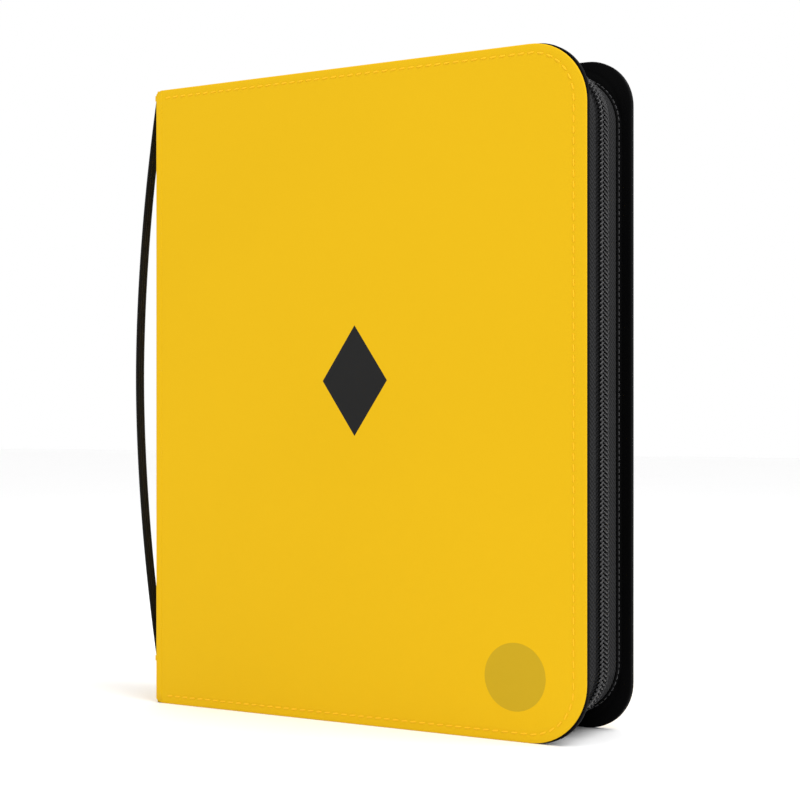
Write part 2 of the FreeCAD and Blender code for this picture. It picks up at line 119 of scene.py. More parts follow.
def shell_mesh(name, points, faces, material, uv=None):
    """A mesh from arrays, its faces turned outwards by the sign of the volume it encloses."""
    points = np.asarray(points, float)
    volume = 0.0
    for group in faces:
        a = points[group[:, 0]]
        for step in range(1, group.shape[1] - 1):
            fan = np.cross(points[group[:, step]], points[group[:, step + 1]])
            volume += np.einsum("ij,ij->i", a, fan).sum()
    if volume < 0:
        faces = [group[:, ::-1] for group in faces]
    mesh = bpy.data.meshes.new(name)
    mesh.from_pydata(points.tolist(), [], [face for group in faces for face in group.tolist()])
    if uv is not None:
        layer = mesh.uv_layers.new(name="UVMap")
        corner = np.empty(len(mesh.loops), np.int32)
        mesh.loops.foreach_get("vertex_index", corner)
        layer.data.foreach_set("uv", np.asarray(uv, np.float32)[corner].ravel())
    mesh.polygons.foreach_set("use_smooth", np.ones(len(mesh.polygons), bool))
    mesh.materials.append(material)
    mesh.update()
    piece = bpy.data.objects.new(name, mesh)
    bpy.context.scene.collection.objects.link(piece)
    return piece


def grid_faces(rows, columns, wrap_rows=False, wrap_columns=False):
    """Quads of a grid of rows x columns points, wrapped round either way."""
    row = np.arange(rows if wrap_rows else rows - 1)
    column = np.arange(columns if wrap_columns else columns - 1)
    i, j = [a.ravel() for a in np.meshgrid(row, column, indexing="ij")]
    k, m = (i + 1) % rows, (j + 1) % columns
    return np.stack([i * columns + j, k * columns + j, k * columns + m, i * columns + m], 1)


def end_caps(rows, around):
    """The two polygons that close the first and last ring of a grid that wraps round."""
    first = np.arange(around)[None, :]
    last = (np.arange(around) + (rows - 1) * around)[None, ::-1]
    return [first, last]


def swept(name, path, outward, run, profile, side, material):
    """A bar along a path: point = path + profile.out * outward, and profile.depth off the middle plane."""
    out, depth = np.asarray(profile, float).T
    count, around = len(path), len(out)
    flat = path[:, None, :] + out[None, :, None] * outward[:, None, :]
    y = side * np.broadcast_to(depth[None, :], (count, around))
    points = np.stack([flat[..., 0], y, flat[..., 1]], -1).reshape(-1, 3)
    girth = np.concatenate([[0.0], np.cumsum(np.hypot(np.diff(out), np.diff(depth)))])
    uv = np.stack(np.broadcast_arrays(run[:, None], girth[None, :]), -1).reshape(-1, 2)
    faces = [grid_faces(count, around, wrap_columns=True), *end_caps(count, around)]
    return shell_mesh(name, points, faces, material, uv)


def edge_path(inset, start, step, end_step=0.0):
    """The covers' edge line, inset, round three sides from the head of the spine to its foot.

    Two straight runs along head and foot and one down the fore-edge, joined by quarter circles.
    The head and foot runs stand in by end_step more than the fore-edge.
    Returns the points in X and Z, the outward directions, and the length run at each point.
    """
    radius = bpy.context.scene.binder_covers.corner_radius - inset
    right, top, low = FORE_X - inset, HEIGHT - inset - end_step, inset + end_step
    turn = np.linspace(np.pi / 2, 0, max(6, int(radius * np.pi / 2 / step)))
    across = np.linspace(start, right - radius, max(2, int((right - radius - start) / step)))
    down = np.linspace(top - radius, low + radius, max(2, int((top - low - 2 * radius) / step)))
    head_arc = np.stack([right - radius + radius * np.cos(turn), top - radius + radius * np.sin(turn)], 1)
    foot_arc = head_arc[::-1] * [1, -1] + [0, top + low]
    head = np.stack([across, np.full_like(across, top)], 1)
    fore = np.stack([np.full_like(down, right), down], 1)
    foot = np.stack([across[::-1], np.full_like(across, low)], 1)
    points = np.concatenate([head, head_arc[1:], fore[1:], foot_arc[1:], foot[1:]])
    ray = np.stack([np.cos(turn), np.sin(turn)], 1)
    outward = np.concatenate([
        np.tile([0.0, 1.0], (len(head), 1)), ray[1:], np.tile([1.0, 0.0], (len(fore) - 1, 1)),
        (ray[::-1] * [1, -1])[1:], np.tile([0.0, -1.0], (len(foot) - 1, 1)),
    ])
    run = np.concatenate([[0.0], np.cumsum(np.linalg.norm(np.diff(points, axis=0), axis=1))])
    return points, outward, run


def along_path(inset, start, pitch, offset=0.0, end_step=0.0):
    """Evenly spaced stations on the edge line: places, outward and forward directions."""
    points, outward, run = edge_path(inset, start, 1.0 * MM, end_step)
    stations = np.arange(offset + pitch / 2, run[-1] - pitch / 2, pitch)
    place = np.stack([np.interp(stations, run, points[:, i]) for i in (0, 1)], 1)
    out = np.stack([np.interp(stations, run, outward[:, i]) for i in (0, 1)], 1)
    out /= np.linalg.norm(out, axis=1)[:, None]
    ahead = np.stack([out[:, 1], -out[:, 0]], 1)
    return place, out, ahead


def bead_shape(length, width, thickness, around=8, rings=5):
    """A closed long bead: x = length/2 sin(a), section width x thickness times cos(a)^0.45."""
    a = np.linspace(-np.pi / 2, np.pi / 2, rings + 2)[1:-1]
    b = np.linspace(0, 2 * np.pi, around, endpoint=False)
    size = np.cos(a) ** 0.45
    x = np.broadcast_to((np.sin(a) * length / 2)[:, None], (rings, around))
    y = size[:, None] * np.cos(b)[None, :] * width / 2
    z = size[:, None] * np.sin(b)[None, :] * thickness / 2
    points = np.stack([x, y, z], -1).reshape(-1, 3)
    tips = np.array([[-length / 2, 0, 0], [length / 2, 0, 0]])
    body = grid_faces(rings, around, wrap_columns=True)
    ring = np.arange(around)
    ahead = np.roll(ring, -1)
    start = np.stack([np.full(around, rings * around), ring, ahead], 1)
    last = (rings - 1) * around
    end = np.stack([np.full(around, rings * around + 1), ahead + last, ring + last], 1)
    return np.concatenate([points, tips]), [body, start, end]


def repeat_shape(name, shape, faces, place, axes, depth, material):
    """Copies of one small shape: point = place + x axis_x + y axis_y + z axis_z, all copies at once."""
    points = place[:, None, :] + np.einsum("vk,nkc->nvc", shape, axes)
    points[..., 1] += depth
    offset = (np.arange(len(place)) * len(shape))[:, None, None]
    groups = [(group[None] + offset).reshape(-1, group.shape[1]) for group in faces]
    return shell_mesh(name, points.reshape(-1, 3), groups, material)


def place_on_plane(flat):
    """X and Z pairs as points of the middle plane."""
    return np.stack([flat[:, 0], np.zeros(len(flat)), flat[:, 1]], 1)


# Materials ------------------------------------------------------------------

def coated_cloth(name, deep, light, roughness, grain_mm, grain_height, specular):
    """Polyurethane coated cloth, embossed between rollers: a fine pebble grain and a low even sheen."""
    material, tree, shader = new_material(name)
    place = add_node(tree, "ShaderNodeTexCoord").outputs["Object"]
    patches = add_node(tree, "ShaderNodeTexNoise", {"Vector": place, "Scale": 9.0, "Detail": 3.0})
    pebbles = add_node(tree, "ShaderNodeTexVoronoi", {"Vector": place, "Scale": 1.0 / (grain_mm * MM)})
    fine = add_node(tree, "ShaderNodeTexNoise", {"Vector": place, "Scale": 2.2 / (grain_mm * MM),
                                                 "Detail": 4.0})
    tree.links.new(mix_colours(tree, patches.outputs[0], deep, light), shader.inputs["Base Color"])
    rough = add_node(tree, "ShaderNodeMapRange", {"Value": fine.outputs[0], "To Min": roughness - 0.06,
                                                  "To Max": roughness + 0.08})
    tree.links.new(rough.outputs[0], shader.inputs["Roughness"])
    coarse = add_node(tree, "ShaderNodeBump", {"Height": pebbles.outputs[0], "Strength": 0.35,
                                               "Distance": grain_height * MM})
    bump = add_node(tree, "ShaderNodeBump", {"Height": fine.outputs[0], "Strength": 0.25,
                                             "Distance": grain_height * 0.5 * MM,
                                             "Normal": coarse.outputs[0]})
    tree.links.new(bump.outputs[0], shader.inputs["Normal"])
    shader.inputs["Specular IOR Level"].default_value = specular
    return material


def woven_tape(name, dark, light, thread_mm, roughness=0.85, sheen=0.25, fold_mm=3.0):
    """Woven polyester in a herringbone: slanting threads that turn back at each fold, and a soft fuzz.

    Height = half a sine wave of (length + folded width) / thread, broken up by a fine noise.
    """
    material, tree, shader = new_material(name)
    place = add_node(tree, "ShaderNodeTexCoord").outputs["UV"]
    apart = add_node(tree, "ShaderNodeSeparateXYZ", {"Vector": place})
    fold = add_node(tree, "ShaderNodeMath", {0: apart.outputs[1], 1: fold_mm * MM}, operation="PINGPONG")
    slant = add_node(tree, "ShaderNodeMath", {0: apart.outputs[0], 1: fold.outputs[0]}, operation="ADD")
    turns = add_node(tree, "ShaderNodeMath", {0: slant.outputs[0], 1: 2 * np.pi / (thread_mm * MM)},
                     operation="MULTIPLY")
    wave = add_node(tree, "ShaderNodeMath", {0: turns.outputs[0]}, operation="SINE")
    fuzz = add_node(tree, "ShaderNodeTexNoise", {"Vector": place, "Scale": 1.0 / (0.6 * thread_mm * MM),
                                                 "Detail": 3.0})
    weave = add_node(tree, "ShaderNodeMath", {0: wave.outputs[0], 1: 0.5, 2: fuzz.outputs[0]},
                     operation="MULTIPLY_ADD")
    tree.links.new(mix_colours(tree, weave.outputs[0], dark, light), shader.inputs["Base Color"])
    bump = add_node(tree, "ShaderNodeBump", {"Height": weave.outputs[0], "Strength": 0.7,
                                             "Distance": 0.25 * thread_mm * MM})
    tree.links.new(bump.outputs[0], shader.inputs["Normal"])
    shader.inputs["Roughness"].default_value = roughness
    shader.inputs["Sheen Weight"].default_value = sheen
    shader.inputs["Sheen Roughness"].default_value = 0.5
    shader.inputs["Specular IOR Level"].default_value = 0.12
    return material


def plain_finish(name, deep, light, roughness, metallic=0.0, spot_mm=2.0, coat=0.0, bump_mm=0.01):
    """A moulded, plated or printed surface with faint unevenness in colour and gloss."""
    material, tree, shader = new_material(name)
    place = add_node(tree, "ShaderNodeTexCoord").outputs["Object"]
    spots = add_node(tree, "ShaderNodeTexNoise", {"Vector": place, "Scale": 1.0 / (spot_mm * MM),
                                                  "Detail": 5.0})
    tree.links.new(mix_colours(tree, spots.outputs[0], deep, light), shader.inputs["Base Color"])
    rough = add_node(tree, "ShaderNodeMapRange", {"Value": spots.outputs[0], "To Min": roughness * 0.8,
                                                  "To Max": roughness * 1.2})
    tree.links.new(rough.outputs[0], shader.inputs["Roughness"])
    bump = add_node(tree, "ShaderNodeBump", {"Height": spots.outputs[0], "Strength": 0.3,
                                             "Distance": bump_mm * MM})
    tree.links.new(bump.outputs[0], shader.inputs["Normal"])
    shader.inputs["Metallic"].default_value = metallic
    shader.inputs["Coat Weight"].default_value = coat
    return material


FINISHES = {}


def make_finishes():
    """One material for each real finish on the binder."""
    covers = bpy.context.scene.binder_covers
    zip_sizes = bpy.context.scene.binder_zip
    FINISHES.update({
        # Smooth coated cloth: nearly flat yellow, the grain only just catches the light.
        "yellow cloth": coated_cloth("yellow_coated_cloth", covers.face_colour, covers.face_light,
                                     0.6, 0.55, 0.02, 0.12),
        # The same cloth in black: deep, its grain shows as a fine grey sparkle.
        "black cloth": coated_cloth("black_coated_cloth", "#040404", "#09090A", 0.6, 0.8, 0.08, 0.03),
        # Bonded polyester thread: a little lighter than the cloth it holds.
        "yellow thread": woven_tape("yellow_bonded_thread", "#DCAA0C", "#F0BE26", 0.5, 0.6, 0.0),
        "black thread": woven_tape("black_bonded_thread", "#1A1A1B", "#38383A", 0.5, 0.7),
        # Zip tape: a coarse herringbone, its thread drawn wider than the real one so that it shows.
        "zip tape": woven_tape("woven_zip_tape", "#060606", "#1E1E20", zip_sizes.thread, sheen=0.03),
        "nylon coil": plain_finish("nylon_zip_coil", "#0E0E10", "#1C1C1E", 0.24, spot_mm=1.2),
        "strap webbing": woven_tape("ribbed_strap_webbing", "#060606", "#151516", 0.9, 0.75, 0.05),
        "black plating": plain_finish("black_plated_zinc", "#1A1A1C", "#26262A", 0.3, metallic=0.9,
                                      spot_mm=3.0),
        # Printed emblem: matt black ink laid on the cloth.
        "emblem print": coated_cloth("matt_black_print", "#141414", "#1B1B1B", 0.6, 0.55, 0.02, 0.15),
        "corner print": coated_cloth("tone_on_tone_print", "#B49412", "#BB9A16", 0.55, 0.55, 0.02, 0.12),
        # Polypropylene pocket film over a black core sheet: clear, glossy, faintly rippled.
        "page film": plain_finish("pocket_film_on_black_core", "#101012", "#18181A", 0.16, spot_mm=9.0,
                                  coat=0.6, bump_mm=0.12),
        "binding cloth": woven_tape("woven_binding_cloth", "#0D0D0E", "#1D1D1F", 0.7),
        "greyboard": plain_finish("bookbinding_greyboard", "#6D675D", "#8A8377", 0.9, spot_mm=1.0),
        "foam": plain_finish("thin_cover_foam", "#C9C8C2", "#DAD9D4", 0.95, spot_mm=0.6),
    })


# Covers ---------------------------------------------------------------------

def outline_ring(inset, fore_radius, spine_radius):
    """A cover's outline drawn inset: four straight sides joined by quarter circles, same count at any inset.

    The corner radius shrinks with the inset down to a small one, so rings nest to the middle.
    """
    left, right, low, top = COVER_START + inset, FORE_X - inset, inset, HEIGHT - inset
    big, small = max(fore_radius - inset, 0.4 * MM), max(spine_radius - inset, 0.4 * MM)
    turn = np.linspace(0, np.pi / 2, 17)
    corners = []
    centres = ((big, right - big, top - big, 0.0), (small, left + small, top - small, 0.5),
               (small, left + small, low + small, 1.0), (big, right - big, low + big, 1.5))
    for radius, x, z, start in centres:
        angle = turn + start * np.pi
        corners.append(np.stack([x + radius * np.cos(angle), z + radius * np.sin(angle)], 1))
    ring = []
    for index, corner in enumerate(corners):
        follow = corners[(index + 1) % 4][0]
        share = np.linspace(0, 1, 26)[1:-1, None]
        ring.append(np.concatenate([corner, corner[-1] * (1 - share) + follow * share]))
    return np.concatenate(ring)


def seam_share(ring):
    """How deep in the sewn channel each point lies: exp(-(distance to the seam / 1.1 mm)^2).

    The distance is taken to the seam's rounded rectangle; nothing is sewn at the spine side.
    """
    covers = bpy.context.scene.binder_covers
    radius = covers.corner_radius - covers.seam_inset
    core_x = FORE_X - covers.corner_radius
    core_z = HEIGHT / 2 - covers.seam_inset - covers.seam_end_step - radius
    past_x = ring[:, 0] - core_x
    past_z = np.abs(ring[:, 1] - HEIGHT / 2) - core_z
    outside = np.hypot(np.maximum(past_x, 0), np.maximum(past_z, 0))
    reach = outside + np.minimum(np.maximum(past_x, past_z), 0)
    first_stitch, fade_in, channel = 3 * MM, 4 * MM, 1.1 * MM
    sewn = np.clip((ring[:, 0] - COVER_START - first_stitch) / fade_in, 0, 1)
    return np.exp(-((reach - radius) / channel) ** 2) * sewn


def cover_shell(name, side, insets, depths, groove, radius, material):
    """A cover layer as nested rings: each ring is the outline at one inset, at one depth from the face.

    The cloth dips by groove where the cover is stitched.
    """
    covers = bpy.context.scene.binder_covers
    rings = [outline_ring(inset * MM, radius, covers.spine_radius) for inset in insets]
    layers = []
    for ring, depth in zip(rings, depths):
        dip = groove * seam_share(ring)
        y = SIDES[side] * (HALF_DEPTH - (depth * MM + dip))
        layers.append(np.stack([ring[:, 0], y, ring[:, 1]], 1))
    count = len(rings[0])
    faces = [grid_faces(len(rings), count, wrap_columns=True), *end_caps(len(rings), count)]
    return shell_mesh(name, np.concatenate(layers), faces, material)


def seam_line(name, side, depth, length, material):
    """Saddle stitches in a row: one bead for each pitch of the seam, at one depth from the face."""
    covers = bpy.context.scene.binder_covers
    place, out, ahead = along_path(covers.seam_inset, COVER_START + 5 * MM, covers.stitch_pitch,
                                   end_step=covers.seam_end_step)
    shape, faces = bead_shape(length, 0.95 * MM, 0.7 * MM)
    tilt = 0.08
    axes = np.zeros((len(place), 3, 3))
    along = ahead + tilt * out
    across = out - tilt * ahead
    axes[:, 0, ::2] = along
    axes[:, 1, ::2] = across
    axes[:, 2, 1] = 1.0
    return repeat_shape(name, shape, faces, place_on_plane(place), axes,
                        SIDES[side] * (HALF_DEPTH - depth), material)


def hinge_skin(name, side, near, far, material):
    """One layer of the cloth that wraps a long edge of the spine, between two depths under the outside.

    Each face runs down the spine, round a quarter circle and along the cover. The ends are rounded off.
    """
    covers = bpy.context.scene.binder_covers
    bend, flap = covers.wrap_radius, covers.wrap_flap
    turn = np.linspace(0, np.pi / 2, 9)
    reach = np.linspace(0, 1, 6)
    sheets = []
    for layer in (near, far):
        radius = bend - layer
        spine_part = np.stack([np.full(5, layer), bend + flap * reach[:0:-1]], 1)
        corner = np.stack([bend - radius * np.cos(turn), bend - radius * np.sin(turn)], 1)
        cover_part = np.stack([bend + flap * reach[1:], np.full(5, layer)], 1)
        sheets.append(np.concatenate([spine_part, corner, cover_part]))
    loop = np.concatenate([sheets[0], sheets[1][::-1]])
    x = SPINE_X + loop[:, 0]
    y = SIDES[side] * (HALF_DEPTH - loop[:, 1])
    rows = 60
    toward_end = 1 - np.clip(loop.sum(1) / (2 * bend + flap), 0, 1)
    pull_in = covers.spine_radius * (1 - np.sqrt(1 - toward_end ** 2))
    share = np.linspace(0, 1, rows)[:, None]
    z = pull_in[None, :] + share * (HEIGHT - 2 * pull_in[None, :])
    points = np.stack(np.broadcast_arrays(x[None, :], y[None, :], z), -1).reshape(-1, 3)
    count = len(loop)
    faces = [grid_faces(rows, count, wrap_columns=True), *end_caps(rows, count)]
    return shell_mesh(name, points, faces, material)


def slab(name, low, high, radius, material):
    """A block with rounded edges: a rounded rectangle in X and Y carried up Z, drawn in at both ends.

    The ends draw in by radius * (1 - sqrt(1 - (1 - rise/radius)^2)).
    """
    turn = np.linspace(0, np.pi / 2, 6)
    middle = (np.array(low[:2]) + np.array(high[:2])) / 2
    half = (np.array(high[:2]) - np.array(low[:2])) / 2 - radius
    ring, toward = [], []
    for index, sign in enumerate(((1, 1), (-1, 1), (-1, -1), (1, -1))):
        angle = turn + index * np.pi / 2
        ray = np.stack([np.cos(angle), np.sin(angle)], 1)
        ring.append(middle + np.array(sign) * half + radius * ray)
        toward.append(ray)
    ring, toward = np.concatenate(ring), np.concatenate(toward)
    rise = radius * (1 - np.cos(np.linspace(0, np.pi / 2, 5)))
    heights = np.concatenate([low[2] + rise, np.linspace(low[2] + radius, high[2] - radius, 24)[1:-1],
                              high[2] - rise[::-1]])
    near = np.clip(np.minimum(heights - low[2], high[2] - heights) / radius, 0, 1)
    draw_in = radius * (1 - np.sqrt(1 - (1 - near) ** 2))
    flat = ring[None] - toward[None] * draw_in[:, None, None]
    points = np.concatenate([flat, np.broadcast_to(heights[:, None, None], (*flat.shape[:2], 1))], -1)
    count = len(ring)
    faces = [grid_faces(len(heights), count, wrap_columns=True), *end_caps(len(heights), count)]
    return shell_mesh(name, points.reshape(-1, 3), faces, material)


# Zip ------------------------------------------------------------------------

def wall_inset(depth):
    """How far in from the cover's edge the zip wall stands, at a depth from the middle plane.

    It bellies out to the zip: inset = crown + belly * (depth / cover face)^2.
    """
    zip_sizes = bpy.context.scene.binder_zip
    return zip_sizes.crown_inset + zip_sizes.belly * (depth / LINING_DEPTH) ** 2


def wall_profile(near, far, lift, thickness, dip=0.0, count=30):
    """A closed strip section that follows the wall's belly: outer side lifted, inner side below it.

    Beside the coil the strip sinks by dip * exp(-((depth - coil edge - 0.9 mm) / 1.0 mm)^2).
    """
    depth = np.linspace(near, far, count)
    base = wall_inset(0.0)
    outer = base - wall_inset(depth) + lift - dip * np.exp(-((depth - COIL_HALF - 0.9 * MM) / MM) ** 2)
    edge = 0.35 * thickness
    trim = np.zeros(count)
    trim[[0, -1]] = edge
    top = np.stack([outer - trim, depth], 1)
    low = np.stack([outer - thickness + trim, depth], 1)[::-1]
    return np.concatenate([top, low])


def zip_wall(name, side, near, far, lift, thickness, material, dip=0.0):
    """One strip of the wall, carried round the three open sides of its cover."""
    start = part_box(f"{side}_gusset")[0][0]
    path, outward, run = edge_path(wall_inset(0.0), start, 3 * MM, END_STEP)
    profile = wall_profile(near, far, lift, thickness, dip)
    return swept(name, path, outward, run, profile, SIDES[side], material)


def coil_teeth(name, side):
    """The coil's turns: slanting beads at each pitch, the two halves half a pitch apart so that they mesh."""
    zip_sizes = bpy.context.scene.binder_zip
    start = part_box(f"{side}_zip_coil")[0][0]
    rear_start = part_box("rear_zip_coil")[0][0]
    pitch = zip_sizes.tooth_pitch
    phase = (rear_start - start) % pitch + (pitch / 2 if side == "front" else 0.0)
    place, out, ahead = along_path(wall_inset(0.0) - 0.5 * MM, start, pitch, phase, END_STEP)
    slant = zip_sizes.tooth_slant
    reach = COIL_HALF - 0.1 * MM
    shape, faces = bead_shape(reach / np.cos(slant), 0.56 * pitch, 2.1 * MM, around=8, rings=3)
    axes = np.zeros((len(place), 3, 3))
    axes[:, 0, ::2] = np.sin(slant) * ahead
    axes[:, 0, 1] = SIDES[side] * np.cos(slant)
    axes[:, 1, ::2] = np.cos(slant) * ahead
    axes[:, 1, 1] = -SIDES[side] * np.sin(slant)
    axes[:, 2, ::2] = out
    depth = SIDES[side] * (0.05 * MM + reach / 2)
    return repeat_shape(name, shape, faces, place_on_plane(place), axes, depth, FINISHES["nylon coil"])


def zip_seam(name, side, depth, lift, pitch, material):
    """A row of stitches along the wall at one depth, raised by lift above the tape."""
    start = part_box(f"{side}_gusset")[0][0]
    place, out, ahead = along_path(wall_inset(depth) - lift, start + 6 * MM, pitch, end_step=END_STEP)
    shape, faces = bead_shape(0.75 * pitch, 0.65 * MM, 0.55 * MM, around=6, rings=3)
    axes = np.zeros((len(place), 3, 3))
    axes[:, 0, ::2] = ahead
    axes[:, 1, 1] = 1.0
    axes[:, 2, ::2] = out
    return repeat_shape(name, shape, faces, place_on_plane(place), axes, SIDES[side] * depth, material)


# Strap ----------------------------------------------------------------------

def carry_strap():
    """Ribbed webbing on a shallow arc: a flat section with rounded sides, its faces rippled by four ribs.

    Section: thickness * (1 + ribs * cos(8 pi v)) across the width; path: the arc between the anchors.
    """
    low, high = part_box("handle_strap")
    thick = bpy.context.scene.binder_strap.thickness
    width = high[1] - low[1]
    share = np.linspace(-1, 1, 90)
    inner_x = high[0] - thick / 2 - 0.1 * MM
    sag = inner_x - (low[0] + thick / 2 + 0.15 * MM)
    x = inner_x - sag * (1 - np.abs(share) ** 1.85)
    z = (low[2] + high[2]) / 2 + share * (high[2] - low[2]) / 2
    v = np.linspace(0, 1, 41)
    round_side = np.sqrt(np.clip(1 - np.abs(2 * v - 1) ** 7, 0, 1))
    ribs = 1 + bpy.context.scene.binder_strap.rib_depth * (np.cos(8 * np.pi * v) - 1)
    half = thick / 2 * round_side * ribs
    across = low[1] + width * v
    loop_y = np.concatenate([across, across[-2:0:-1]])
    loop_out = np.concatenate([half, -half[-2:0:-1]])
    slope = np.gradient(x, z)
    normal = np.stack([-np.ones_like(slope), slope], 1) / np.sqrt(1 + slope ** 2)[:, None]
    px = x[:, None] + normal[:, :1] * loop_out[None]
    pz = z[:, None] + normal[:, 1:] * loop_out[None]
    py = np.broadcast_to(loop_y[None], px.shape)
    run = np.concatenate([[0.0], np.cumsum(np.hypot(np.diff(x), np.diff(z)))])
    girth = np.concatenate([[0.0], np.cumsum(np.hypot(np.diff(loop_y), np.diff(loop_out)))])
    uv = np.stack(np.broadcast_arrays(run[:, None], girth[None]), -1).reshape(-1, 2)
    count = len(loop_y)
    faces = [grid_faces(len(x), count, wrap_columns=True), *end_caps(len(x), count)]
    return shell_mesh("carry_strap", np.stack([px, py, pz], -1).reshape(-1, 3), faces,
                      FINISHES["strap webbing"], uv)


# Pages ----------------------------------------------------------------------

def page_leaf(node):
    """One page: a core with pockets on both faces, welded down in a grid.

    Half thickness = weld + (pocket - weld) * pillow, where pillow rises within 2.5 mm of each weld line,
    and the pocket mouths, on the side nearer the spine, stand a little higher than the rest.
    """
    pages = bpy.context.scene.binder_pages
    low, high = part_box(node)
    columns, rows = pages.columns, pages.rows
    margin = pages.binding_margin
    wide = (high[0] - low[0] - margin) / columns
    tall = (high[2] - low[2]) / rows
    near = np.array([0.0, 0.35, 0.8, 1.5, 2.6, 5.0]) * MM

    def stations(start, size, count):
        inside = np.concatenate([near, np.linspace(near[-1], size - near[-1], 7)[1:-1], size - near[::-1]])
        marks = np.concatenate([start + index * size + inside for index in range(count)])
        return np.unique(np.round(marks, 7))

    plain_strip = low[0] + np.array([0.0, 0.4, 2.0, 6.0]) * MM
    across = np.concatenate([plain_strip, stations(low[0] + margin, wide, columns)])
    upright = stations(low[2], tall, rows)

    def rise(marks, start, size):
        local = (marks - start) % size
        edge = np.minimum(local, size - local)
        edge[(marks < start) | (local < 1e-6)] = 0.0
        return np.clip((edge - 0.8 * MM) / (1.8 * MM), 0, 1)

    pillow = rise(across, low[0] + margin, wide)[:, None] * rise(upright, low[2], tall)[None, :]
    pillow = pillow ** 2 * (3 - 2 * pillow)
    mouth = np.exp(-(((across - low[0] - margin) % wide - 3.2 * MM) / (0.6 * MM)) ** 2)
    mouth[across < low[0] + margin] = 0.0
    full = (high[1] - low[1]) / 2
    weld = 0.42 * full
    half = weld + (full - weld) * pillow * (0.85 + 0.15 * mouth[:, None])
    middle = (high[1] + low[1]) / 2
    x, z = np.meshgrid(across, upright, indexing="ij")
    sheets = [np.stack([x, np.full_like(x, middle) + sign * half, z], -1).reshape(-1, 3)
              for sign in (-1, 1)]
    count = x.size
    index = np.arange(count).reshape(x.shape)
    rim = np.concatenate([index[:-1, 0], index[-1, :-1], index[:0:-1, -1], index[0, :0:-1]])
    follow = np.roll(rim, -1)
    front = grid_faces(*x.shape)
    walls = np.stack([rim, rim + count, follow + count, follow], 1)
    return shell_mesh(f"{node}_leaf", np.concatenate(sheets), [front, front[:, ::-1] + count, walls],
                      FINISHES["page film"])


# Metal ----------------------------------------------------------------------

def zip_pull_tab():
    """A cast pull: a rounded bar, waisted in the middle, with a loop round the slider's pin.

    Plan: half width = full * (1 - waist * sin(pi t)); section: a superellipse of power 4.
    """
    low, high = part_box("zip_pull")
    pin_x = low[0] + (high[2] - low[2]) / 2
    pin_z = (low[2] + high[2]) / 2
    stations, around, clear_of_pin = 40, 24, 1.7 * MM
    t = np.linspace(0, 1, stations)
    x = pin_x + clear_of_pin + t * (high[0] - pin_x - clear_of_pin)
    ends = np.clip(np.minimum(t, 1 - t) / 0.07, 0, 1)
    round_end = np.sqrt(np.clip(1 - (1 - ends) ** 2, 0.02, 1))
    half_width = (high[1] - low[1]) / 2 * (1 - 0.22 * np.sin(np.pi * t)) * (0.55 + 0.45 * round_end)
    half_thick = 0.5 * MM * (0.6 + 0.4 * round_end)
    turn = np.linspace(0, 2 * np.pi, around, endpoint=False)
    c, s = np.cos(turn), np.sin(turn)
    y = half_width[:, None] * (np.sign(c) * np.abs(c) ** 0.5)[None]
    z = pin_z + half_thick[:, None] * (np.sign(s) * np.abs(s) ** 0.5)[None]
    points = np.stack([np.broadcast_to(x[:, None], y.shape), y, z], -1).reshape(-1, 3)
    faces = [grid_faces(stations, around, wrap_columns=True), *end_caps(stations, around)]
    return shell_mesh("pull_bar", points, faces, FINISHES["black plating"])


def ring_about_pin(name, centre, inner, outer, half_width, material):
    """A flat ring about the Y direction: a rounded square section carried round a circle in X and Z."""
    turn = np.linspace(0, 2 * np.pi, 40, endpoint=False)
    lap = np.linspace(0, 2 * np.pi, 14, endpoint=False)
    grid = grid_faces(len(turn), len(lap), wrap_rows=True, wrap_columns=True)
    c, s = np.cos(lap), np.sin(lap)
    radial = (outer + inner) / 2 + (outer - inner) / 2 * np.sign(c) * np.abs(c) ** 0.7
    side = half_width * np.sign(s) * np.abs(s) ** 0.5
    x = centre[0] + np.cos(turn)[:, None] * radial[None]
    z = centre[2] + np.sin(turn)[:, None] * radial[None]
    y = centre[1] + np.broadcast_to(side[None], x.shape)
    points = np.stack([x, y, z], -1).reshape(-1, 3)
    return shell_mesh(name, points, [grid], material)


# Properties -----------------------------------------------------------------

class BinderCovers(bpy.types.PropertyGroup):
    """Sizes and colours of the covers."""
    corner_radius: bpy.props.FloatProperty(
        name="Fore-edge corner", description="Radius of both its corners", default=31 * MM, unit="LENGTH")
    front_lining: bpy.props.FloatProperty(
        name="Front lining corner", description="Radius of its fuller corners", default=28 * MM,
        unit="LENGTH")
    rear_lining: bpy.props.FloatProperty(
        name="Rear lining corner", description="Radius of its fuller corners", default=25 * MM, unit="LENGTH")
    spine_radius: bpy.props.FloatProperty(
        name="Spine corner", description="Radius of the corners at the spine", default=4 * MM, unit="LENGTH")
    seam_inset: bpy.props.FloatProperty(
        name="Seam inset", description="From the fore-edge to the stitching", default=7 * MM, unit="LENGTH")
    seam_end_step: bpy.props.FloatProperty(
        name="Seam end step", description="Extra inset at head and foot", default=-2.5 * MM, unit="LENGTH")
    stitch_pitch: bpy.props.FloatProperty(
        name="Stitch pitch", description="From one stitch to the next", default=5.3 * MM, unit="LENGTH")
    wrap_radius: bpy.props.FloatProperty(
        name="Wrap radius", description="Bend of the cloth round a spine edge", default=1.1 * MM,
        unit="LENGTH")
    wrap_flap: bpy.props.FloatProperty(
        name="Wrap flap", description="Flat cloth each side of that bend", default=3.5 * MM, unit="LENGTH")
    face_colour: bpy.props.FloatVectorProperty(
        name="Face colour", description="Colour of the cloth", default=linear("#D2A703"), size=4, min=0,
        max=1, subtype="COLOR")
    face_light: bpy.props.FloatVectorProperty(
        name="Face light patches", description="Its lighter patches", default=linear("#D7AB06"), size=4,
        min=0, max=1, subtype="COLOR")


